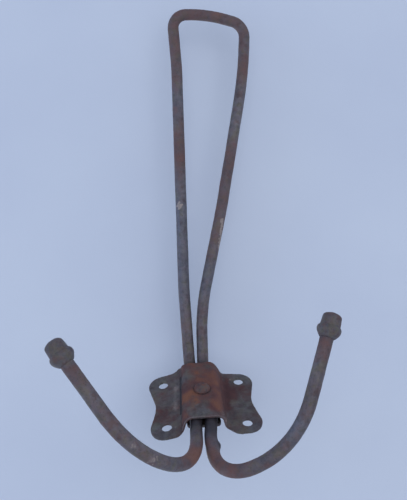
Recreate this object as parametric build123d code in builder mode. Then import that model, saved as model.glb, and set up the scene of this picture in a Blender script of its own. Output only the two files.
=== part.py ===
"""Bent-wire hat and coat hook: one bent rod clamped between a pressed front plate and a flat back plate.

Millimetres.  +X right, +Y into the wall, +Z up.  The origin is the centre of the four screw holes,
on the wall plane (y = 0), so everything in front of the wall has a negative y.
"""
from math import cos, radians, sin, tan
import os

from build123d import *

os.makedirs("parts", exist_ok=True)

# --- rod -------------------------------------------------------------------------------------
ROD_D = 6.0
ROD_R = ROD_D / 2
GAP = 0.05                      # clearance between pieces that are clamped together

# --- back clamp plate ------------------------------------------------------------------------
CLAMP_T = 1.8
CLAMP_W = 16.4
CLAMP_X = -1.4
CLAMP_TOP = 20.0
CLAMP_BOTTOM = -15.0

# --- front plate -----------------------------------------------------------------------------
SHEET_T = 1.3
HOLE_X = 38.5                   # screw hole spacing, left to right
HOLE_Z = 30.0                   # screw hole spacing, top to bottom
HOLE_D = 4.8
# where an ear's slanted side and its end edge would meet: the right ears are cut shorter than the left
LEFT_EAR_X, LEFT_EAR_TOP, LEFT_EAR_BOTTOM = -29.1, 21.7, -21.7
RIGHT_EAR_X, RIGHT_EAR_TOP, RIGHT_EAR_BOTTOM = 28.5, 19.6, -20.8
EAR_R = 7.2                     # corner radius of the ears
WAIST_X = 23.2                  # where the slanted sides of two ears would meet
CROWN_TOP = 22.8
CROWN_BOTTOM = -17.2
# The folds aren't quite upright: each has its x at mid height and a skew, the x gained per mm of height.
LEFT_CORNER_X, LEFT_CORNER_SKEW = -9.25, 0.067
RIGHT_CORNER_X, RIGHT_CORNER_SKEW = 7.4, -0.03
RIGHT_FOOT_X, RIGHT_FOOT_SKEW = 9.75, 0.055
LEFT_WALL_LEAN = 1.6            # how far the left side wall leans out from the crown to its foot
SHOULDER_R = 4.4                # crown corner, on the sheet's middle surface
FOLD_LOW, FOLD_HIGH = -23.5, 24.5   # the folds are drawn between these heights, then trimmed
LEFT_FLARE_TOP = 24.9           # the left side wall flares up past the crown
LEFT_WING_RISE = 17.5           # degrees; the left wing is bowed away from the wall
LEFT_WING_R = 48.0
LEFT_WING_BEND_X = -28.5        # the left wing lies flat on the wall up to here
RIGHT_WING_X = 13.5             # the right wing lies flat on the wall from here out

# --- rivet -----------------------------------------------------------------------------------
RIVET_X = -0.8
RIVET_Z = 2.2
RIVET_D = 3.5
RIVET_HEAD_D = 7.8
RIVET_HEAD_H = 2.1
RIVET_TAIL_D = 5.6
RIVET_TAIL_H = 1.1

# --- hat loop --------------------------------------------------------------------------------
HEEL_Z = 25.8                   # where the rod leaves the plate and leans forward
HEEL_R = 6.0
LOOP_LEAN = 55.0                # degrees between the loop and the wall

# --- knobs on the two coat hooks -------------------------------------------------------------
COLLAR_D = 10.6
DOME_D = 8.8
KNOB_L = 11.2
COLLAR_L = 5.2                  # from the foot of the knob to the ledge round the dome
SOCKET_DEPTH = 5.5
ROD_END_IN_KNOB = 5.2

# --- levels in front of the wall -------------------------------------------------------------
ROD_Y = -(CLAMP_T + GAP + ROD_R)
CROWN_BACK_Y = ROD_Y - ROD_R - GAP
CROWN_MID_Y = CROWN_BACK_Y - SHEET_T / 2
CROWN_FRONT_Y = CROWN_BACK_Y - SHEET_T
WING_MID_Y = -SHEET_T / 2

# the rods bow round the rivet shank
BOW = ROD_R + RIVET_D / 2 + 2 * GAP


def on_loop(x, s):
    """A point of the leaning hat loop: x across, s along the loop from its heel."""
    lean = radians(LOOP_LEAN)
    return (x, ROD_Y - s * sin(lean), HEEL_Z + s * cos(lean))


# The rod is one piece: each row is a bend point and its bend radius.  It starts in the left knob,
# runs down the left coat hook, up behind the crown, round the hat loop and back down the right side.
LEFT_TIP = (-61.3, -65.2, -34.9)
RIGHT_TIP = (51.1, -62.7, -25.8)
ROD_BENDS = [
    ((-36.9, -37.6, -60.0), 38.0),
    ((-8.2, -7.4, -52.6), 34.5),
    ((-6.1, ROD_Y, -23.4), 15.0),
    ((-5.2, ROD_Y, -13.0), 20.0),
    ((RIVET_X - BOW, ROD_Y, RIVET_Z - 5.0), 20.0),
    ((RIVET_X - BOW, ROD_Y, RIVET_Z + 5.0), 20.0),
    ((-4.7, ROD_Y, 17.0), 20.0),
    (on_loop(-4.8, 0.0), HEEL_R),
    (on_loop(-5.4, 40.0), 150.0),
    (on_loop(-1.9, 160.0), 150.0),
    (on_loop(-2.7, 190.3), 7.5),
    (on_loop(16.0, 190.4), 72.0),
    (on_loop(37.0, 183.6), 9.0),
    (on_loop(34.3, 155.4), 270.0),
    (on_loop(17.4, 82.0), 300.0),
    (on_loop(3.1, 28.8), 120.0),
    (on_loop(2.1, 0.0), HEEL_R),
    ((2.2, ROD_Y, 17.0), 20.0),
    ((RIVET_X + BOW, ROD_Y, RIVET_Z + 5.0), 20.0),
    ((RIVET_X + BOW, ROD_Y, RIVET_Z - 5.0), 20.0),
    ((1.9, ROD_Y, -14.0), 20.0),
    ((0.2, ROD_Y, -26.0), 30.0),
    ((0.3, ROD_Y, -53.0), 20.5),
    ((32.2, -26.9, -58.6), 40.0),
]


# --- hook_rod --------------------------------------------------------------------------------
with BuildPart() as hook_rod:
    with BuildLine() as rod_path:
        FilletPolyline(
            LEFT_TIP,
            *[point for point, radius in ROD_BENDS],
            RIGHT_TIP,
            radius=[radius for point, radius in ROD_BENDS],
        )
    with BuildSketch(Plane(origin=rod_path.line @ 0, z_dir=rod_path.line % 0)):
        Circle(ROD_R)
    sweep()


# --- front_plate -----------------------------------------------------------------------------
# The plate's outline, clockwise from the top of the crown: each row is a corner and its radius.
OUTLINE = [
    ((8.0, CROWN_TOP), 25.0),
    ((RIGHT_EAR_X - 0.6, RIGHT_EAR_TOP), EAR_R),
    ((WAIST_X, 0.0), 20.0),
    ((RIGHT_EAR_X, RIGHT_EAR_BOTTOM), EAR_R),
    ((14.0, RIGHT_EAR_BOTTOM - 0.6), 4.5),
    ((9.6, CROWN_BOTTOM), 4.0),
    ((-9.6, CROWN_BOTTOM), 4.0),
    ((-14.0, LEFT_EAR_BOTTOM - 0.6), 4.5),
    ((LEFT_EAR_X, LEFT_EAR_BOTTOM), EAR_R),
    ((-WAIST_X, 0.0), 20.0),
    ((LEFT_EAR_X + 0.6, LEFT_EAR_TOP), EAR_R),
    ((-13.0, 22.2), 4.0),
    ((-9.9, LEFT_FLARE_TOP), 2.0),
    ((-7.0, CROWN_TOP), 3.0),
]


def bent_section(height):
    """The sheet's middle line seen from above at that height, from the left ear to the right wing."""
    bend_x = LEFT_WING_BEND_X + LEFT_WING_R * tan(radians(LEFT_WING_RISE / 2))
    left_corner_x = LEFT_CORNER_X + LEFT_CORNER_SKEW * height
    crease_x = left_corner_x - LEFT_WALL_LEAN
    crease_y = WING_MID_Y - (crease_x - bend_x) * tan(radians(LEFT_WING_RISE))
    FilletPolyline(
        (LEFT_EAR_X - 1, WING_MID_Y),
        (bend_x, WING_MID_Y),
        (crease_x, crease_y),
        (left_corner_x, CROWN_MID_Y),
        (RIGHT_CORNER_X + RIGHT_CORNER_SKEW * height, CROWN_MID_Y),
        (RIGHT_FOOT_X + RIGHT_FOOT_SKEW * height, WING_MID_Y),
        (RIGHT_WING_X, WING_MID_Y),
        radius=[LEFT_WING_R, 0.9, SHOULDER_R, SHOULDER_R, 2.6],
    )


# The bent sheet is drawn between its sections at two heights and carried on as the flat right wing,
# then trimmed to the plate's outline.
with BuildPart() as front_plate:
    for height in (FOLD_LOW, FOLD_HIGH):
        with BuildSketch(Plane.XY.offset(height)):
            with BuildLine():
                bent_section(height)
            trace(line_width=SHEET_T)
    loft(ruled=True)
    with BuildSketch(Plane.XZ):
        with Locations(((RIGHT_WING_X + RIGHT_EAR_X) / 2, (FOLD_LOW + FOLD_HIGH) / 2)):
            Rectangle(RIGHT_EAR_X - RIGHT_WING_X, FOLD_HIGH - FOLD_LOW)
    extrude(amount=SHEET_T)
    with BuildSketch(Plane.XZ.offset(20)) as outline:
        with BuildLine():
            FilletPolyline(
                *[point for point, radius in OUTLINE],
                radius=[radius for point, radius in OUTLINE],
                close=True,
            )
        make_face()
    extrude(amount=-40, mode=Mode.INTERSECT)
    with BuildSketch(Plane.XZ.offset(20)):
        with GridLocations(HOLE_X, HOLE_Z, 2, 2):
            Circle(HOLE_D / 2)
        with Locations((RIVET_X, RIVET_Z)):
            Circle(RIVET_D / 2 + GAP)
    extrude(amount=-40, mode=Mode.SUBTRACT)


# --- back_clamp ------------------------------------------------------------------------------
with BuildPart() as back_clamp:
    with BuildSketch(Plane.XZ):
        with Locations((CLAMP_X, (CLAMP_TOP + CLAMP_BOTTOM) / 2)):
            RectangleRounded(CLAMP_W, CLAMP_TOP - CLAMP_BOTTOM, 2.0)
    extrude(amount=CLAMP_T)
    fillet(back_clamp.faces().sort_by(Axis.Y)[0].edges(), 0.4)
    with BuildSketch(Plane.XZ):
        with Locations((RIVET_X, RIVET_Z)):
            Circle(RIVET_D / 2 + GAP)
    extrude(amount=CLAMP_T, mode=Mode.SUBTRACT)
    # countersink for the hammered tail
    with BuildSketch(Plane.XY.offset(RIVET_Z)):
        with BuildLine():
            Polyline(
                (RIVET_X, 0),
                (RIVET_X + RIVET_TAIL_D / 2 + GAP, 0),
                (RIVET_X + RIVET_D / 2 + GAP, -RIVET_TAIL_H - GAP),
                (RIVET_X, -RIVET_TAIL_H - GAP),
                close=True,
            )
        make_face()
    revolve(axis=Axis((RIVET_X, 0, RIVET_Z), (0, 1, 0)), mode=Mode.SUBTRACT)


# --- rivet -----------------------------------------------------------------------------------
with BuildPart() as rivet:
    with BuildSketch(Plane.XY.offset(RIVET_Z)):
        with BuildLine():
            foot = (RIVET_X, 0)
            apex = (RIVET_X, CROWN_FRONT_Y - RIVET_HEAD_H)
            rim = (RIVET_X + RIVET_HEAD_D / 2, CROWN_FRONT_Y - 0.45)
            Polyline(
                apex,
                foot,
                (RIVET_X + RIVET_TAIL_D / 2, 0),
                (RIVET_X + RIVET_D / 2, -RIVET_TAIL_H),
                (RIVET_X + RIVET_D / 2, CROWN_FRONT_Y - GAP),
                (RIVET_X + RIVET_HEAD_D / 2, CROWN_FRONT_Y - GAP),
                rim,
            )
            Spline(
                rim,
                (RIVET_X + RIVET_HEAD_D * 0.34, CROWN_FRONT_Y - RIVET_HEAD_H * 0.76),
                apex,
                tangents=[(-0.35, -1), (-1, 0)],
            )
        make_face()
    revolve(axis=Axis((RIVET_X, 0, RIVET_Z), (0, 1, 0)))


# --- left_knob, right_knob -------------------------------------------------------------------
def knob_profile():
    """Half section of a knob along its own axis: socket, flared collar, ledge, then dome."""
    socket_r, collar_r, dome_r = ROD_R + GAP, COLLAR_D / 2, DOME_D / 2
    foot = (socket_r + 0.3, 0)
    brim = (collar_r, COLLAR_L - 1.6)
    ledge = (dome_r + 0.1, COLLAR_L)
    dome_side = (dome_r - 0.25, KNOB_L - 2.2)
    crown = (0, KNOB_L)
    Spline(foot, (collar_r - 0.75, 1.5), brim, tangents=[(1, 0.9), (0, 1)])
    Spline(brim, (collar_r - 0.3, COLLAR_L - 0.4), ledge, tangents=[(0, 1), (-1, 0.15)])
    Line(ledge, dome_side)
    Spline(dome_side, (dome_r * 0.7, KNOB_L - 0.7), crown, tangents=[(-0.07, 1), (-1, 0)])
    Polyline(crown, (0, SOCKET_DEPTH), (socket_r, SOCKET_DEPTH), (socket_r, 0), foot)


def knob_plane(tip, previous):
    """The knob's plane: its x runs out from the rod's axis and its y along the rod, past the tip."""
    along = (Vector(*tip) - Vector(*previous)).normalized()
    across = along.cross(Vector(0, 0, 1)).normalized()
    return Plane(origin=Vector(*tip) - along * ROD_END_IN_KNOB, x_dir=across, z_dir=across.cross(along))


left_plane = knob_plane(LEFT_TIP, ROD_BENDS[0][0])
with BuildPart() as left_knob:
    with BuildSketch(left_plane):
        with BuildLine():
            knob_profile()
        make_face()
    revolve(axis=Axis(left_plane.origin, left_plane.y_dir))

right_plane = knob_plane(RIGHT_TIP, ROD_BENDS[-1][0])
with BuildPart() as right_knob:
    with BuildSketch(right_plane):
        with BuildLine():
            knob_profile()
        make_face()
    revolve(axis=Axis(right_plane.origin, right_plane.y_dir))


# --- labels and files ------------------------------------------------------------------------
hook_rod.part.label = "hook_rod"
front_plate.part.label = "front_plate"
back_clamp.part.label = "back_clamp"
rivet.part.label = "rivet"
left_knob.part.label = "left_knob"
right_knob.part.label = "right_knob"

export_step(hook_rod.part, "parts/hook_rod.step")
export_step(front_plate.part, "parts/front_plate.step")
export_step(back_clamp.part, "parts/back_clamp.step")
export_step(rivet.part, "parts/rivet.step")
export_step(left_knob.part, "parts/left_knob.step")
export_step(right_knob.part, "parts/right_knob.step")
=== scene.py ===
"""A rusted hat and coat hook that lies on its hat loop over a pale table, in the CAD's frame.

Lengths are in millimetres until a piece is finished, and in metres in the scene.
"""

from math import cos, radians, sin

import bmesh
import bpy
import numpy as np
from mathutils import Matrix, Vector, noise
from mathutils.bvhtree import BVHTree


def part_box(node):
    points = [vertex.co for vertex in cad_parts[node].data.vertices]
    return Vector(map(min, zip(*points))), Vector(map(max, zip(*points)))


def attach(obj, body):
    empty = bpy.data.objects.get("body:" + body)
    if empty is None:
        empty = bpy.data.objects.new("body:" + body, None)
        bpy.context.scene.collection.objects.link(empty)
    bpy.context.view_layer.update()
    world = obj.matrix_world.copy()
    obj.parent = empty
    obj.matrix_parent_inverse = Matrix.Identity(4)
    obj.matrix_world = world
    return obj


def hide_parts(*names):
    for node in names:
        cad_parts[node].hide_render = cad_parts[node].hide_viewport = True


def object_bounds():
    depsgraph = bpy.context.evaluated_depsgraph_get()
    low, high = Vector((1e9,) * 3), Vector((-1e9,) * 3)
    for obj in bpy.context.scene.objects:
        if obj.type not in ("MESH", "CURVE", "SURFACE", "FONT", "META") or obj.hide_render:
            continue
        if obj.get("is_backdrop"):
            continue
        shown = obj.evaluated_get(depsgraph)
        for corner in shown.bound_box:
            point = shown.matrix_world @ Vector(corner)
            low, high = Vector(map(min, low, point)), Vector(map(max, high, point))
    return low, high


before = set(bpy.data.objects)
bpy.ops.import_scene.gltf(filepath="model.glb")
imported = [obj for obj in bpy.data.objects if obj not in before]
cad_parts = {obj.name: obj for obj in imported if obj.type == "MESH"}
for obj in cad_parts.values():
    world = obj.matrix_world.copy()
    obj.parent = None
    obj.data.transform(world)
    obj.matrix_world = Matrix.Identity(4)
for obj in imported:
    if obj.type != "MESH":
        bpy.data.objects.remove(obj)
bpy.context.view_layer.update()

MM = 0.001

# The camera looks up at the hook from below and in front, so that the loop points to the top of the picture.
CAMERA_AT = (-27.1, -236.4, -259.2)
CAMERA_LOOKS = (0.0905, 0.4932, 0.8652)
CAMERA_UP = (0.0555, -0.8699, 0.4900)
CAMERA_LENS = 50.0

LOOP_LEAN = 55.0  # degrees between the hat loop's plane and the wall
# out of the table, towards the camera
TABLE_NORMAL = Vector((0, -cos(radians(LOOP_LEAN)), -sin(radians(LOOP_LEAN))))
TABLE_WIDTH = 4.0  # metres
TABLE_GAP = 16.0  # the loop is propped up this far off the table, so its shadow is soft and wide

SKY = (0.78, 0.86, 1.0)  # the cool tint of daylight from an open sky
SKY_STRENGTH = 0.70
BACKDROP = (0.44, 0.51, 0.68, 1.0)  # what is seen past the table's edge, as pale as the table

# The side of the small faces that each piece is made of.
ROD_NET = 0.44
PLATE_NET = 0.30
CLAMP_NET = 0.32
RIVET_NET = 0.17
KNOB_NET = 0.24
ROD_THINNED = 0.35  # keeps the narrow gap between the rod's two runs open

# Where the rod's parts begin and end.
LOOP_FOOT_Z, LOOP_CLEAR_Z = 30, 45  # the hat loop starts between these heights
LOOP_END_Y = -150  # the legs of the loop end here and its top bar begins
LEGS_APART_X = 2  # between the loop's two legs
HOOKS_APART_X = -2.9  # between the two coat hooks
HOOKS_TOP_Z = -24

# Marks of rust, cool scale and pale residue on the rod, each as (centre, radius, strength).
ROD_RUST = [
    ((34.0, -136.0, 114.0), 8, 0.36),  # right leg, under the loop's corner
    ((24.5, -96.5, 86.3), 8, 0.24),  # right leg, half way
    ((-6.5, -8.6, -40.5), 11, 0.55),  # left hook, where it starts to bend
    ((-9.4, -12.6, -46.6), 8, 0.50),
    ((0.0, -8.0, -44.0), 11, 0.45),  # right hook, where it starts to bend
    ((7.4, -13.3, -52.5), 9, 0.30),
    ((-45.2, -48.6, -54.0), 8, 0.10),  # left hook, half way
    ((-53.3, -60.3, -42.5), 7, 0.26),  # left hook, by the knob
    ((47.2, -57.9, -34.2), 6, 0.45),  # right hook, by the knob
    ((31.3, -32.5, -55.1), 9, -0.10),  # right hook, the cleanest scale
]
ROD_FRESH_RUST = [
    ((-7.0, -10.5, -43.0), 9, 0.60),
    ((47.2, -57.9, -34.2), 5, 0.25),
    ((7.4, -13.3, -52.5), 7, 0.25),
]
ROD_COOL = [
    ((-2.6, -121.7, 103.9), 9, 0.50),
    ((-5.0, -88.0, 82.0), 6, 0.35),
    ((31.3, -32.5, -55.1), 6, 0.50),
]
ROD_RESIDUE = [
    ((-33.9, -36.8, -60.0), 2.0, 0.75),  # two paint spots under the left hook
    ((-26.9, -28.9, -60.3), 2.6, 0.75),
    ((-22.0, -24.6, -58.7), 4.5, 0.50),
    ((-5.4, -75.6, 71.8), 1.9, 1.90),  # the white fleck on the left leg
]
SPLASH = ((17.6, -68.5, 66.5), (15.2, -56.0, 59.0))  # the streak of paint down the right leg
NUB = (3.2, -5.6, -32.5)  # the small lump on the right hook, under the plate
NUB_SIZE = (1.2, 1.6, 2.2)

# The same marks on the front plate, with its creases and ridges as lines through points.
PLATE_RUST = [
    ((-8.9, -8.5, 0.2), 6.0, 0.30),  # crown, left of the rivet
    ((2.3, -9.2, 10.0), 7.0, 0.30),  # crown, over the rivet
    ((14.6, -1.3, 7.6), 7.4, 0.50),  # right wing, along the fold
    ((11.5, -1.5, -2.2), 6.0, 0.45),
    ((-20.5, -2.0, -6.3), 6.0, 0.45),  # left wing, its waist
    ((22.8, -1.3, -14.9), 5, 0.22),  # right wing, lower ear
    ((-17, -2, 21), 6, 0.20),  # left wing, upper edge
    ((-3.0, -9.2, -14.0), 6.0, -0.65),  # clean scale over the arch
    ((-8.9, -8.0, 12.4), 4.5, -0.50),  # clean scale at the left shoulder
    ((17.6, -1.3, -3.0), 7.0, -0.35),
    ((-13.6, -3, 3.0), 5.5, -0.30),
]
PLATE_FRESH_RUST = [
    ((-8.4, -8.7, -1.5), 6.0, 0.60),
    ((2.3, -9.2, 10.0), 7.0, 0.20),
    ((-1.9, -9.2, 18.0), 9.0, 0.25),
]
PLATE_COOL = [
    ((-3.0, -9.2, -14.0), 6.0, 0.25),
    ((-8.9, -8, 12.4), 4.0, 0.30),
    ((17.6, -1.3, -3.0), 7, 0.20),
]
PLATE_RESIDUE = [
    ((-15.3, -3.2, -16.3), 1.4, 0.70),
    ((15.7, -1.3, 17.0), 1.8, 0.50),
]
# the pale band along the left fold: partly wear and partly a painted highlight
PALE_FOLD = ((-13.0, -4.2, 13.0), (-14.6, -3.6, -5.0))
LEFT_CREASE = ((-10.2, -4.9, 16.6), (-11.9, -4.3, -9.0))
RIGHT_CREASE = ((11.4, -1.9, 17.0), (10.4, -1.9, -4.0))
LEFT_RIDGE = ((-4.6, -9.2, -5.6), (-7.4, -9.2, -12.2), (-11.0, -6.2, -16.2))
RIGHT_RIDGE = ((2.8, -9.2, -6.6), (5.9, -8.6, -13.0), (9.2, -5.2, -18.4))
RIGHT_SHOULDER = ((7.6, -7.4, 13.0), (7.4, -7.4, -3.4), (4.6, -9.0, -10.6))
RIDGE_HEIGHT = 0.30
LEFT_RIDGE_WIDTH, RIGHT_RIDGE_WIDTH = 1.5, 1.6
CREASE_DEPTH, CREASE_WIDTH = 0.22, 0.7


# --------------------------------------------------------------------------------------------------
# Dense, uneven copies of the CAD nodes

def mesh_in_mm(node):
    """A welded copy of a CAD node's mesh, in millimetres."""
    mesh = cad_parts[node].data.copy()
    mesh.transform(Matrix.Scale(1 / MM, 4))
    welded = bmesh.new()
    welded.from_mesh(mesh)
    bmesh.ops.remove_doubles(welded, verts=welded.verts, dist=0.0005)
    welded.to_mesh(mesh)
    welded.free()
    return mesh


def linked(name, mesh):
    obj = bpy.data.objects.new(name, mesh)
    bpy.context.scene.collection.objects.link(obj)
    return obj


def dense_copy(node, voxel, thinned=0.0):
    """The node's shape in an even net of small faces, with its sharp edges slightly worn round.

    It is thinned by that much before the net is made, so that the net doesn't close a narrow gap, and then
    wrapped onto the full shape.
    """
    target = linked(node + "_target", mesh_in_mm(node))
    copy = linked(node + "_copy", target.data.copy())
    thin = copy.modifiers.new("thinner", "DISPLACE")
    thin.strength = -thinned
    thin.mid_level = 0.0
    remesh = copy.modifiers.new("even_net", "REMESH")
    remesh.mode = "VOXEL"
    remesh.voxel_size = voxel
    wrap = copy.modifiers.new("onto_the_cad", "SHRINKWRAP")
    wrap.target = target
    wrap.wrap_method = "NEAREST_SURFACEPOINT"
    smooth = copy.modifiers.new("worn_edges", "SMOOTH")
    smooth.factor = 0.5
    smooth.iterations = 3
    bpy.context.view_layer.update()
    evaluated = copy.evaluated_get(bpy.context.evaluated_depsgraph_get())
    mesh = bpy.data.meshes.new_from_object(evaluated)
    bpy.data.objects.remove(copy)
    bpy.data.objects.remove(target)
    return mesh


def points(mesh):
    """(places, unit normals) of a mesh's vertices."""
    places = np.empty(len(mesh.vertices) * 3)
    normals = np.empty(len(mesh.vertices) * 3)
    mesh.vertices.foreach_get("co", places)
    mesh.vertices.foreach_get("normal", normals)
    return places.reshape(-1, 3), normals.reshape(-1, 3)


def rough(places, size, seed):
    """Smooth noise from about -1 to 1, with lumps of that size."""
    shift = Vector((seed * 17.3, seed * 5.9, seed * 11.1))
    return np.array([noise.noise(Vector(p) / size + shift) for p in places])


def uneven(places, seed, *sizes):
    """One noise for each lump size, with seeds that count up from seed."""
    return [rough(places, size, seed + i) for i, size in enumerate(sizes)]


def ramp(value, start, end):
    """0 up to start, 1 from end, and smooth between them."""
    t = np.clip((value - start) / (end - start), 0, 1)
    return t * t * (3 - 2 * t)


def fade(value, start, end):
    """1 up to start, 0 from end, and smooth between them."""
    return 1 - ramp(value, start, end)


def near(value, centre, start, end):
    """1 up to start away from the centre, on both sides, and 0 from end away."""
    return fade(np.abs(value - centre), start, end)


def mound(distance, width):
    """A bell curve: 1 in the middle, falling to about a third at that distance."""
    return np.exp(-((distance / width) ** 2))


def patch(places, centre, radius, edge):
    """1 inside a patch with a ragged edge, 0 outside it. edge is a noise value for each place."""
    distance = np.linalg.norm(places - np.array(centre), axis=1)
    return fade(distance + edge * radius * 0.7, 0.0, radius * 1.5)


def patches(places, edge, marks):
    """The sum of several patches, each given as (centre, radius, strength)."""
    return sum(strength * patch(places, centre, radius, edge) for centre, radius, strength in marks)


def line_distance(places, start, end):
    """Distance of each place to a straight line between two points."""
    start, end = np.array(start, float), np.array(end, float)
    along = end - start
    t = np.clip((places - start) @ along / (along @ along), 0, 1)
    return np.linalg.norm(places - start - t[:, None] * along, axis=1)


def path_distance(places, path):
    """Distance of each place to a line through several points."""
    return np.min([line_distance(places, start, end) for start, end in zip(path, path[1:])], axis=0)


def edge_sharpness(mesh, places, normals):
    """How strongly each vertex stands out from its neighbours: positive on edges and negative in creases."""
    pairs = np.empty(len(mesh.edges) * 2, int)
    mesh.edges.foreach_get("vertices", pairs)
    a, b = pairs.reshape(-1, 2).T
    count = np.bincount(np.concatenate([a, b]), minlength=len(places))[:, None]

    def mean_of_neighbours(value):
        total = np.zeros_like(value)
        np.add.at(total, a, value[b])
        np.add.at(total, b, value[a])
        return total / count

    stands_out = ((places - mean_of_neighbours(places)) * normals).sum(1)[:, None]
    for _ in range(3):
        stands_out = mean_of_neighbours(stands_out)
    return stands_out[:, 0]


def closeness(places, nodes, reach):
    """1 where a vertex touches one of the CAD nodes, falling to 0 at that reach."""
    nearest = np.full(len(places), reach)
    for node in nodes:
        mesh = mesh_in_mm(node)
        welded = bmesh.new()
        welded.from_mesh(mesh)
        tree = BVHTree.FromBMesh(welded)
        for i, place in enumerate(places):
            found = tree.find_nearest(Vector(place), reach)
            if found[0] is not None:
                nearest[i] = min(nearest[i], found[3])
        welded.free()
    return 1 - nearest / reach


def keep(mesh, name, value):
    """Stores one number for each vertex, for the material to read."""
    stored = mesh.attributes.new(name, "FLOAT", "POINT")
    stored.data.foreach_set("value", np.clip(value, 0, 1).astype(np.float32))


def piece(node, mesh, places, material):
    """Finishes a mesh as the piece that stands for a CAD node."""
    mesh.vertices.foreach_set("co", (places * MM).ravel())
    mesh.update()
    mesh.shade_smooth()
    obj = linked(node + "_weathered", mesh)
    obj.data.materials.clear()
    obj.data.materials.append(material)
    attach(obj, "root")
    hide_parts(node)
    return obj


# --------------------------------------------------------------------------------------------------
# Materials

def linear(red, green, blue):
    """A display colour, each part from 0 to 255, as the linear colour that Blender takes."""
    parts = [c / 255 for c in (red, green, blue)]
    return tuple(c / 12.92 if c <= 0.04045 else ((c + 0.055) / 1.055) ** 2.4 for c in parts) + (1.0,)


class Material:
    """A material's node tree, with one short method for each kind of node."""

    def __init__(self, name):
        self.material = bpy.data.materials.new(name)
        self.material.use_nodes = True
        self.tree = self.material.node_tree
        self.tree.nodes.clear()
        self.output = self.tree.nodes.new("ShaderNodeOutputMaterial")
        mapping = self.tree.nodes.new("ShaderNodeMapping")
        mapping.inputs["Scale"].default_value = (1 / MM,) * 3
        self.put(self.tree.nodes.new("ShaderNodeTexCoord").outputs["Object"], mapping.inputs["Vector"])
        self.place = mapping.outputs["Vector"]

    def put(self, value, socket):
        """Links an output to a socket, or sets the socket to a plain number or colour."""
        if isinstance(value, bpy.types.NodeSocket):
            self.tree.links.new(value, socket)
        else:
            socket.default_value = value

    def noise(self, size, detail=4.0, roughness=0.55, distortion=0.0):
        """Noise from 0 to 1 with lumps of that size in millimetres."""
        node = self.tree.nodes.new("ShaderNodeTexNoise")
        self.put(self.place, node.inputs["Vector"])
        node.inputs["Scale"].default_value = 1 / size
        node.inputs["Detail"].default_value = detail
        node.inputs["Roughness"].default_value = roughness
        node.inputs["Distortion"].default_value = distortion
        return node.outputs["Fac"]

    def cells(self, size):
        """Distance to the nearest of many scattered points, from 0 at a point."""
        node = self.tree.nodes.new("ShaderNodeTexVoronoi")
        self.put(self.place, node.inputs["Vector"])
        node.inputs["Scale"].default_value = 1 / size
        return node.outputs["Distance"]

    def stored(self, name):
        node = self.tree.nodes.new("ShaderNodeAttribute")
        node.attribute_name = name
        return node.outputs["Fac"]

    def math(self, operation, a, b=0.0, clamp=False):
        node = self.tree.nodes.new("ShaderNodeMath")
        node.operation = operation
        node.use_clamp = clamp
        self.put(a, node.inputs[0])
        self.put(b, node.inputs[1])
        return node.outputs[0]

    def range(self, value, start, end, low=0.0, high=1.0):
        """value from start to end becomes low to high, with nothing outside that."""
        node = self.tree.nodes.new("ShaderNodeMapRange")
        node.interpolation_type = "SMOOTHSTEP"
        sockets = ("Value", "From Min", "From Max", "To Min", "To Max")
        for socket, number in zip(sockets, (value, start, end, low, high)):
            self.put(number, node.inputs[socket])
        return node.outputs["Result"]

    def colours(self, value, *stops):
        """A colour ramp through (position, colour) stops."""
        node = self.tree.nodes.new("ShaderNodeValToRGB")
        elements = node.color_ramp.elements
        while len(elements) < len(stops):
            elements.new(0.5)
        for element, (position, colour) in zip(elements, stops):
            element.position = position
            element.color = colour
        self.put(value, node.inputs["Fac"])
        return node.outputs["Color"]

    def mix(self, share, a, b):
        """Colour a turning into colour b."""
        node = self.tree.nodes.new("ShaderNodeMix")
        node.data_type = "RGBA"
        self.put(share, node.inputs[0])
        self.put(a, node.inputs[6])
        self.put(b, node.inputs[7])
        return node.outputs[2]

    def bump(self, height, distance, below=None):
        """A bump of that depth in millimetres, laid over another one if given."""
        node = self.tree.nodes.new("ShaderNodeBump")
        node.inputs["Distance"].default_value = distance * MM
        self.put(height, node.inputs["Height"])
        if below is not None:
            self.put(below, node.inputs["Normal"])
        return node.outputs["Normal"]

    def surface(self, colour, roughness, normal, metallic=0.0, specular=0.4):
        shader = self.tree.nodes.new("ShaderNodeBsdfPrincipled")
        for socket, value in (("Base Color", colour), ("Roughness", roughness), ("Normal", normal),
                              ("Metallic", metallic), ("Specular IOR Level", specular)):
            self.put(value, shader.inputs[socket])
        self.put(shader.outputs["BSDF"], self.output.inputs["Surface"])
        return self.material


def evenly(colours):
    """Ramp stops for these colours, spread evenly from 0 to 1."""
    return [(i / (len(colours) - 1), colour) for i, colour in enumerate(colours)]


# dark colour for grime and for painted shade in creases, where parts meet and under other parts
GRIME_AND_SHADE = linear(42, 39, 46)
BARE_METAL = linear(124, 118, 124)
# pale residue colour, which on the front plate also paints a highlight along the left fold and the ridges'
# lower ends
RESIDUE_AND_HIGHLIGHT = linear(158, 146, 142)
PIT = linear(46, 38, 42)
OLIVE_SCALE = (linear(76, 72, 68), linear(106, 102, 92))
BROWN_SCALE = (linear(78, 60, 60), linear(108, 86, 82))
SCALE_ROUGHNESS, RUST_ROUGHNESS = 0.44, 0.80
SCALE_METAL = 0.30  # mill scale shines a little like metal, and rust doesn't
STEEL_SPECULAR = 0.38


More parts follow.
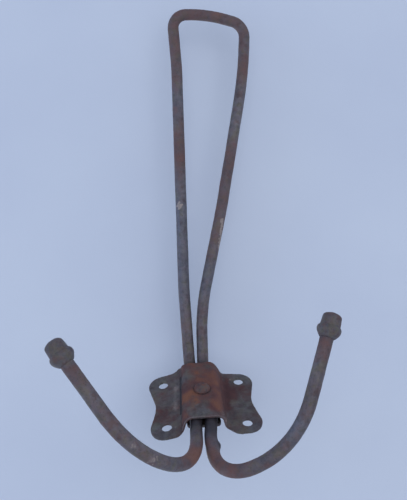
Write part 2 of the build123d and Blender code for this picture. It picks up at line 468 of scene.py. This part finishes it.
def rusted_steel(name, scale_colours, rust_colours, cool_colours, grain=1.0, most_rust=1.0):
    """Old mild steel: smooth dark mill scale, powdery rust where the vertices say so, worn edges, and grime
    mixed with painted shade.

    The colour lists go from the darkest to the lightest, grain is the size of the finest texture, and
    most_rust is how far the rust covers the scale at most.
    """
    m = Material(name)
    broad = m.noise(9.0 * grain, 3.0, 0.6)
    blotch = m.noise(2.4 * grain, 5.0, 0.62, 0.4)
    speck = m.noise(0.55 * grain, 4.0, 0.7)
    pits = m.cells(1.1 * grain)

    # mill scale: dark grey in cloudy tones, partly olive or brown, and bluer where the vertices say so
    tone = m.math("ADD", m.math("MULTIPLY", broad, 0.4), m.math("MULTIPLY", blotch, 0.6))
    shade = m.range(tone, 0.32, 0.68)
    hue = m.noise(4.5 * grain, 4.0, 0.6)
    scale = m.colours(shade, *evenly(scale_colours))
    scale = m.mix(m.range(hue, 0.46, 0.62, 0.0, 0.85), scale, m.colours(shade, *evenly(OLIVE_SCALE)))
    scale = m.mix(m.range(hue, 0.36, 0.48, 0.55, 0.0), scale, m.colours(shade, *evenly(BROWN_SCALE)))
    cool = m.colours(m.range(blotch, 0.3, 0.7), *evenly(cool_colours))
    coolness = m.math("ADD", m.stored("blue"), m.math("SUBTRACT", blotch, 0.5))
    scale = m.mix(m.range(coolness, 0.0, 1.0, 0.0, 0.9), scale, cool)

    # rust: dark and red where it is thin, orange where the vertices say that it is fresh
    fresh = m.math("ADD", m.math("MULTIPLY", m.stored("fresh"), 0.62), m.math("MULTIPLY", speck, 0.45))
    rust = m.colours(m.range(fresh, 0.12, 0.88), *evenly(rust_colours))
    ragged = m.math("ADD", m.math("MULTIPLY", blotch, 0.90), m.math("MULTIPLY", speck, 0.45))
    rusty = m.range(m.math("ADD", m.stored("rust"), ragged), 0.70, 1.60, 0.0, most_rust)
    colour = m.mix(rusty, scale, rust)

    # grime mixed with painted shade in the creases and where parts meet, bare metal on the edges, a thin pale
    # residue in spots (on the front plate partly a painted highlight) and small pits
    grime_and_shade_share = m.math("ADD", m.stored("grime_and_shade"), m.math("MULTIPLY", blotch, 0.25))
    # painted shade, mixed with grime, darkens the colour here
    colour = m.mix(m.range(grime_and_shade_share, 0.25, 1.05, 0.0, 0.85), colour, GRIME_AND_SHADE)
    bare = m.math("ADD", m.stored("worn"), m.math("MULTIPLY", speck, 0.6))
    colour = m.mix(m.range(bare, 0.62, 1.20, 0.0, 0.6), colour, BARE_METAL)
    residue_and_highlight = m.math("ADD", m.stored("pale"), m.math("MULTIPLY", speck, 0.5))
    # pale residue, and on the front plate a painted highlight, lightens the colour here
    colour = m.mix(m.range(residue_and_highlight, 0.60, 1.20, 0.0, 0.75), colour, RESIDUE_AND_HIGHLIGHT)
    pitted = m.range(pits, 0.10, 0.32, 1.0, 0.0)
    colour = m.mix(m.math("MULTIPLY", pitted, 0.30), colour, PIT)

    unpolished = m.math("MULTIPLY", m.math("SUBTRACT", speck, 0.5), 0.35)
    roughness = m.math("ADD", m.range(rusty, 0.0, 1.0, SCALE_ROUGHNESS, RUST_ROUGHNESS), unpolished, True)
    metal = m.range(rusty, 0.0, 1.0, SCALE_METAL, 0.0)
    powder = m.math("MULTIPLY", speck, m.range(rusty, 0.0, 1.0, 0.4, 1.0))
    height = m.math("ADD", powder, m.math("MULTIPLY", pitted, -0.8))
    relief = m.bump(height, 0.09 * grain, m.bump(blotch, 0.12 * grain))
    return m.surface(colour, roughness, relief, metal, STEEL_SPECULAR)


ROD_STEEL = rusted_steel(
    "rusted_rod_steel",
    scale_colours=(linear(76, 72, 80), linear(91, 88, 96), linear(103, 99, 107), linear(116, 112, 121)),
    rust_colours=(linear(84, 64, 68), linear(102, 74, 74), linear(122, 82, 70)),
    cool_colours=(linear(78, 85, 102), linear(102, 109, 125)),
    most_rust=0.85,
)
SHEET_STEEL = rusted_steel(
    "rusted_sheet_steel",
    scale_colours=(linear(66, 60, 63), linear(81, 74, 75), linear(92, 86, 87), linear(110, 104, 106)),
    rust_colours=(linear(68, 42, 46), linear(92, 59, 58), linear(118, 76, 58)),
    cool_colours=(linear(70, 74, 84), linear(92, 96, 104)),
)
# the back plate's steel, painted darker than the front plate's as shade, since it sits behind the rods and
# under the front plate
SHADED_CLAMP_STEEL = rusted_steel(
    "back_plate_steel_painted_shade",
    scale_colours=(linear(56, 51, 57), linear(72, 66, 70), linear(88, 82, 87)),
    rust_colours=(linear(58, 41, 43), linear(82, 56, 53), linear(108, 72, 58)),
    cool_colours=(linear(64, 68, 80), linear(84, 88, 98)),
)
RIVET_STEEL = rusted_steel(
    "rusted_rivet_steel",
    scale_colours=(linear(76, 62, 66), linear(92, 76, 79), linear(112, 96, 99)),
    rust_colours=(linear(70, 46, 48), linear(92, 60, 58), linear(116, 78, 64)),
    cool_colours=(linear(78, 74, 80), linear(100, 96, 100)),
    grain=0.7,
)
KNOB_STEEL = rusted_steel(
    "rusted_knob_steel",
    scale_colours=(linear(70, 66, 74), linear(86, 84, 92), linear(97, 95, 98), linear(112, 109, 116)),
    rust_colours=(linear(70, 50, 54), linear(92, 66, 66), linear(110, 80, 70)),
    cool_colours=(linear(78, 84, 96), linear(98, 104, 114)),
    grain=0.8,
)


# --------------------------------------------------------------------------------------------------
# The pieces

def make_rod():
    """The bent rod: drawn round, then bent by hand, so it is slightly uneven along its length."""
    mesh = dense_copy("hook_rod", ROD_NET, ROD_THINNED)
    places, normals = points(mesh)
    x, y, z = places.T
    swell, lump, scab, edge, fleck = uneven(places, 1, 14, 4.5, 1.6, 5, 0.9)
    # how near each vertex is to the plate and clamp, for painted shade where they meet
    close = closeness(places, ("front_plate", "back_clamp"), 5.0)

    loop = ramp(z, LOOP_FOOT_Z, LOOP_CLEAR_Z)  # 1 on the hat loop, 0 on the coat hooks
    left_leg = loop * (x < LEGS_APART_X) * (y > LOOP_END_Y)
    right_leg = loop * (x > LEGS_APART_X) * (y > LOOP_END_Y)
    left_side, right_side = x < HOOKS_APART_X, x > HOOKS_APART_X
    right_hook = (z < HOOKS_TOP_Z) * right_side

    # rust all over, most at the loop's top, in stretches of both legs and at the bends of the hooks
    rust = 0.32 + 0.22 * swell + 0.20 * lump + 0.12 * scab + 0.30 * ramp(-y, 146, 158)
    rust += left_leg * (0.34 * near(y, -100, 3, 16) + 0.20 * near(y, -141, 4, 16))
    rust -= left_leg * 0.20 * near(y, -58, 18, 36)
    rust += right_leg * (0.16 * near(y, -76, 12, 34) - 0.25 * near(y, -116, 4, 14))
    rust += patches(places, edge, ROD_RUST)
    keep(mesh, "rust", rust)
    keep(mesh, "fresh", 0.36 + 0.30 * lump + patches(places, edge, ROD_FRESH_RUST))

    blue = 0.12 + 0.25 * lump + 0.38 * left_leg * near(y, -56, 16, 38) + 0.40 * right_leg * near(y, -43, 5, 10)
    blue += 0.40 * right_hook * near(z, -26, 3, 8) + patches(places, edge, ROD_COOL)
    keep(mesh, "blue", blue)

    splash = fade(line_distance(places, *SPLASH) + 1.1 * fleck, 0.5, 1.9)
    pale = patches(places, fleck, ROD_RESIDUE) + 1.6 * splash + 0.22 * right_leg * near(y, -116, 6, 18)
    keep(mesh, "pale", pale + 0.12 * (scab > 0.5))

    # the nub with grime on it, and grime mixed with painted shade under the plate, at the foot of the loop and
    # where the rod touches the plate and clamp
    nub = mound(np.linalg.norm((places - np.array(NUB)) / np.array(NUB_SIZE), axis=1), 1)
    # painted shade under the plate, stronger on the right hook
    shade_under_plate = (z < 0) * fade(-z, 22, 38) * (0.55 * left_side + 0.85 * right_side)
    grime_and_shade = 0.8 * close + 0.42 * loop * near(y, -18, 4, 20) + 0.20 * right_leg * near(y, -142, 4, 14)
    keep(mesh, "grime_and_shade", grime_and_shade + shade_under_plate + 0.15 * lump + nub)
    keep(mesh, "worn", 0.10 + 0.25 * np.maximum(scab, 0) + 0.12 * swell)

    crust = 0.03 * np.clip(rust, 0, 1) * np.abs(scab)
    height = 0.07 * swell + 0.06 * lump + 0.035 * scab + crust + nub
    height *= 1 - 0.8 * (close > 0.9)
    return piece("hook_rod", mesh, places + normals * height[:, None], ROD_STEEL)


def make_front_plate():
    """The pressed front plate, hammered uneven, with two soft ridges that run down from the rivet."""
    mesh = dense_copy("front_plate", PLATE_NET)
    places, normals = points(mesh)
    x, _, z = places.T
    swell, lump, scab, edge = uneven(places, 11, 11, 3.6, 1.3, 4)
    sharp = edge_sharpness(mesh, places, normals)
    front = (normals[:, 1] < 0.2) * 1.0
    close = closeness(places, ("rivet",), 2.2)

    left_wing, right_wing = (x < -10.9 + 0.067 * z) * 1.0, (x > 10.2 + 0.055 * z) * 1.0
    crown = (1 - left_wing) * (1 - right_wing)
    ears = ramp(np.abs(x), 15, 20) * ramp(np.abs(z), 9, 14)
    left_crease = line_distance(places, *LEFT_CREASE)
    right_crease = line_distance(places, *RIGHT_CREASE)
    left_ridge = path_distance(places, LEFT_RIDGE)
    right_ridge = path_distance(places, RIGHT_RIDGE)
    right_shoulder = path_distance(places, RIGHT_SHOULDER)

    # rust, mostly on the crown and along its right side
    rust = 0.28 + 0.22 * swell + 0.24 * lump + 0.16 * scab + 0.34 * crown - 0.22 * ears
    rust += 0.5 * fade(right_shoulder + 1.5 * edge, 0.5, 5.5) + 0.4 * fade(right_crease + edge, 0.5, 4.5)
    keep(mesh, "rust", rust + patches(places, edge, PLATE_RUST))
    fresh = 0.22 + 0.3 * lump + 0.10 * crown - 0.2 * right_wing - 0.15 * left_wing
    fresh += 0.22 * fade(right_shoulder + edge, 0.5, 5.0)
    fresh += 0.25 * fade(left_ridge, 0.5, 2.4) + 0.20 * fade(right_ridge, 0.5, 2.4)
    keep(mesh, "fresh", fresh + patches(places, edge, PLATE_FRESH_RUST))
    blue = 0.02 + 0.15 * swell + 0.35 * ears + 0.20 * (left_wing + right_wing) * np.maximum(swell, 0)
    keep(mesh, "blue", blue + patches(places, edge, PLATE_COOL))

    # a pale band down the left fold, partly wear and partly a painted highlight, and pale lower ends of the
    # ridges, partly wear and partly a painted highlight
    fold_wear_and_highlight = fade(line_distance(places, *PALE_FOLD) + 1.2 * edge + 0.9 * scab, -0.6, 4.8)
    pale = 0.56 * fold_wear_and_highlight * (0.9 + 0.5 * lump) + 0.2 * (scab > 0.42) + patches(places, edge, PLATE_RESIDUE)
    # painted highlight, partly wear, on the lower ends of both ridges
    pale += 0.35 * fade(left_ridge + 0.8 * edge, 0.2, 2.0) * (z < -9)
    pale += 0.40 * fade(right_ridge + 0.8 * edge, 0.2, 2.6) * (z < -8)
    keep(mesh, "pale", pale * front)

    # painted shade in the creases, along the left crease, round the rivet and on the back faces, mixed with
    # some grime
    grime_and_shade = 0.45 * ramp(-sharp, 0.004, 0.03) + 1.1 * fade(left_crease, 0.35, 1.1) * front
    grime_and_shade += 0.5 * ramp(close, 0.35, 0.9) + 0.15 * lump + 0.45 * (1 - front)
    keep(mesh, "grime_and_shade", grime_and_shade)
    worn = 0.70 * ramp(sharp, 0.01, 0.05) + 0.15 * np.maximum(scab, 0) + 0.40 * (z < -16.4) * crown
    keep(mesh, "worn", worn)

    height = 0.12 * swell + 0.07 * lump + 0.035 * scab
    height += front * RIDGE_HEIGHT * mound(left_ridge, LEFT_RIDGE_WIDTH)
    height += front * RIDGE_HEIGHT * mound(right_ridge, RIGHT_RIDGE_WIDTH)
    height -= front * CREASE_DEPTH * mound(left_crease, CREASE_WIDTH)
    height *= fade(close, 0.5, 1.0)
    return piece("front_plate", mesh, places + normals * height[:, None], SHEET_STEEL)


def make_back_clamp():
    """The flat plate behind the rods, which only shows from the back and at its ends."""
    mesh = dense_copy("back_clamp", CLAMP_NET)
    places, normals = points(mesh)
    swell, lump, scab = uneven(places, 21, 9, 3.2, 1.2)
    sharp = edge_sharpness(mesh, places, normals)
    close = closeness(places, ("rivet",), 2.5)
    keep(mesh, "rust", 0.35 + 0.3 * swell + 0.2 * lump + 0.35 * ramp(close, 0.2, 0.9))
    keep(mesh, "fresh", 0.35 + 0.3 * lump + 0.2 * swell)
    keep(mesh, "blue", 0.25 - 0.3 * swell)
    keep(mesh, "pale", 0.25 * (scab > 0.4))
    # painted shade round the rivet, mixed with some grime
    keep(mesh, "grime_and_shade", 0.20 + 0.2 * lump + 0.4 * ramp(close, 0.6, 1.0))
    keep(mesh, "worn", 0.7 * ramp(sharp, 0.01, 0.05) + 0.15 * np.maximum(scab, 0))
    height = 0.09 * swell + 0.06 * lump + 0.03 * scab
    height *= fade(close, 0.5, 1.0)
    return piece("back_clamp", mesh, places + normals * height[:, None], SHADED_CLAMP_STEEL)


def make_rivet():
    """The rivet, its head beaten flat in many small blows."""
    mesh = dense_copy("rivet", RIVET_NET)
    places, normals = points(mesh)
    swell, lump, scab = uneven(places, 31, 3.4, 1.3, 0.6)
    sharp = edge_sharpness(mesh, places, normals)
    rim = ramp(places[:, 1], -9.7, -9.2)
    keep(mesh, "rust", 0.50 + 0.25 * swell + 0.3 * lump + 0.2 * rim)
    keep(mesh, "fresh", 0.42 + 0.35 * lump + 0.1 * rim)
    keep(mesh, "blue", 0.1 - 0.2 * swell)
    keep(mesh, "pale", 0.30 * np.maximum(lump, 0) + 0.2 * (scab > 0.35))
    # painted shade, mixed with grime, in the hollows of the blows and round the rim where the head meets the
    # plate
    keep(mesh, "grime_and_shade", 0.4 * ramp(-lump, 0.15, 0.5) + 0.3 * rim)
    keep(mesh, "worn", 0.35 * ramp(sharp, 0.002, 0.02) + 0.2 * np.maximum(lump, 0))
    height = 0.16 * swell + 0.12 * lump + 0.03 * scab
    return piece("rivet", mesh, places + normals * height[:, None], RIVET_STEEL)


def make_knob(node, seed, red_top, fleck):
    """A knob: a collar and a dome turned from bar, with old dents.

    red_top is how rusty its outer end is, and fleck is how strong the pale fleck on its side is.
    """
    mesh = dense_copy(node, KNOB_NET)
    places, normals = points(mesh)
    swell, lump, scab, edge = uneven(places, seed, 5, 2.0, 0.8, 3)
    sharp = edge_sharpness(mesh, places, normals)
    low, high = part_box(node)
    tip = np.array([(low[0] if low[0] < 0 else high[0]) / MM, low[1] / MM, high[2] / MM])
    on_top = patch(places, tip * 0.5 + places.mean(0) * 0.5, 4.0, edge)
    keep(mesh, "rust", 0.30 + 0.25 * swell + 0.25 * lump + red_top * on_top)
    keep(mesh, "fresh", 0.25 + 0.3 * lump + 0.3 * red_top * on_top)
    keep(mesh, "blue", 0.1 + 0.2 * swell)
    spot = patch(places, places.mean(0) + np.array((3.0, -4.0, -1.0)), 1.4, edge)
    keep(mesh, "pale", fleck * spot + 0.2 * (scab > 0.4))
    # painted shade, mixed with grime, in the creases and hollows
    keep(mesh, "grime_and_shade", 0.55 * ramp(-sharp, 0.003, 0.02) + 0.3 * ramp(-lump, 0.1, 0.5))
    keep(mesh, "worn", 0.45 * ramp(sharp, 0.008, 0.035) + 0.15 * np.maximum(scab, 0))
    height = 0.14 * swell + 0.08 * lump + 0.035 * scab
    return piece(node, mesh, places + normals * height[:, None], KNOB_STEEL)


# --------------------------------------------------------------------------------------------------
# The table, the light and the camera

def table_material():
    """A pale cloth, faintly uneven.

    It lets light through from behind and can't be seen from there, so it hides nothing when the hook is
    looked at from the back.
    """
    m = Material("pale_table_cloth")
    cloud = m.noise(110.0, 3.0, 0.5)
    weave = m.noise(0.9, 3.0, 0.6)
    colour = m.colours(cloud, (0.30, linear(202, 211, 230)), (0.70, linear(209, 218, 235)))
    relief = m.bump(weave, 0.04, m.bump(cloud, 1.2))
    m.surface(colour, m.range(weave, 0.3, 0.7, 0.85, 0.95), relief, metallic=0.0, specular=0.2)
    tree = m.tree
    shader = m.output.inputs["Surface"].links[0].from_socket
    clear = tree.nodes.new("ShaderNodeBsdfTransparent")
    choose = tree.nodes.new("ShaderNodeMixShader")
    behind = tree.nodes.new("ShaderNodeNewGeometry").outputs["Backfacing"]
    light = tree.nodes.new("ShaderNodeLightPath").outputs["Is Shadow Ray"]
    m.put(m.math("MAXIMUM", behind, light), choose.inputs["Fac"])
    m.put(shader, choose.inputs[1])
    m.put(clear.outputs["BSDF"], choose.inputs[2])
    m.put(choose.outputs["Shader"], m.output.inputs["Surface"])
    return m.material


def make_table(rod):
    """The table behind the hat loop, square to TABLE_NORMAL."""
    places, _ = points(rod.data)
    lowest = (places @ np.array(TABLE_NORMAL)).min()
    half = TABLE_WIDTH / 2
    mesh = bpy.data.meshes.new("table")
    corners = [(-half, -half, 0), (half, -half, 0), (half, half, 0), (-half, half, 0)]
    mesh.from_pydata(corners, [], [range(4)])
    table = linked("table", mesh)
    table.rotation_mode = "QUATERNION"
    table.rotation_quaternion = TABLE_NORMAL.to_track_quat("Z", "Y")
    table.location = TABLE_NORMAL * (lowest - TABLE_GAP * MM)
    mesh.materials.append(table_material())
    table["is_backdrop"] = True


def soft_light(name, direction, distance, width, power, colour):
    """A square soft light at that distance in metres from the hook, facing it."""
    data = bpy.data.lights.new(name, "AREA")
    data.shape = "SQUARE"
    data.size = width
    data.energy = power
    data.color = colour
    light = linked(name, data)
    direction = Vector(direction).normalized()
    low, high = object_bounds()
    light.location = (low + high) / 2 + direction * distance
    light.rotation_mode = "QUATERNION"
    light.rotation_quaternion = direction.to_track_quat("Z", "Y")


def make_sky():
    world = bpy.data.worlds.new("sky")
    world.use_nodes = True
    tree = world.node_tree
    light = tree.nodes["Background"]
    light.inputs["Color"].default_value = SKY + (1.0,)
    light.inputs["Strength"].default_value = SKY_STRENGTH
    backdrop = tree.nodes.new("ShaderNodeBackground")
    backdrop.inputs["Color"].default_value = BACKDROP
    choose = tree.nodes.new("ShaderNodeMixShader")
    tree.links.new(tree.nodes.new("ShaderNodeLightPath").outputs["Is Camera Ray"], choose.inputs["Fac"])
    tree.links.new(light.outputs["Background"], choose.inputs[1])
    tree.links.new(backdrop.outputs["Background"], choose.inputs[2])
    tree.links.new(choose.outputs["Shader"], tree.nodes["World Output"].inputs["Surface"])
    bpy.context.scene.world = world


def make_camera():
    data = bpy.data.cameras.new("camera")
    data.lens = CAMERA_LENS
    data.clip_start, data.clip_end = 0.01, 20.0
    camera = linked("camera", data)
    forward = Vector(CAMERA_LOOKS).normalized()
    right = forward.cross(Vector(CAMERA_UP)).normalized()
    turn = Matrix((right, right.cross(forward), -forward)).transposed()
    camera.matrix_world = Matrix.Translation(Vector(CAMERA_AT) * MM) @ turn.to_4x4()
    bpy.context.scene.camera = camera


rod = make_rod()
make_front_plate()
make_back_clamp()
make_rivet()
make_knob("left_knob", seed=41, red_top=0.0, fleck=0.45)
make_knob("right_knob", seed=51, red_top=0.35, fleck=0.0)

make_table(rod)
make_sky()
soft_light("window", (0.15, -0.60, -0.80), distance=2.0, width=2.2, power=8.0, colour=(1.0, 0.96, 0.92))
soft_light("blue_sky_left", (-1.0, -0.35, -0.25), distance=1.5, width=1.0, power=3.0, colour=(0.45, 0.65, 1.0))
soft_light("room_behind", (-0.6, 0.8, 0.45), distance=1.4, width=1.2, power=10.0, colour=(0.95, 0.97, 1.0))
soft_light("room_right", (0.9, -0.45, 0.35), distance=1.4, width=1.0, power=1.5, colour=(1.0, 0.97, 0.94))
make_camera()
bpy.context.scene.view_settings.view_transform = "Standard"
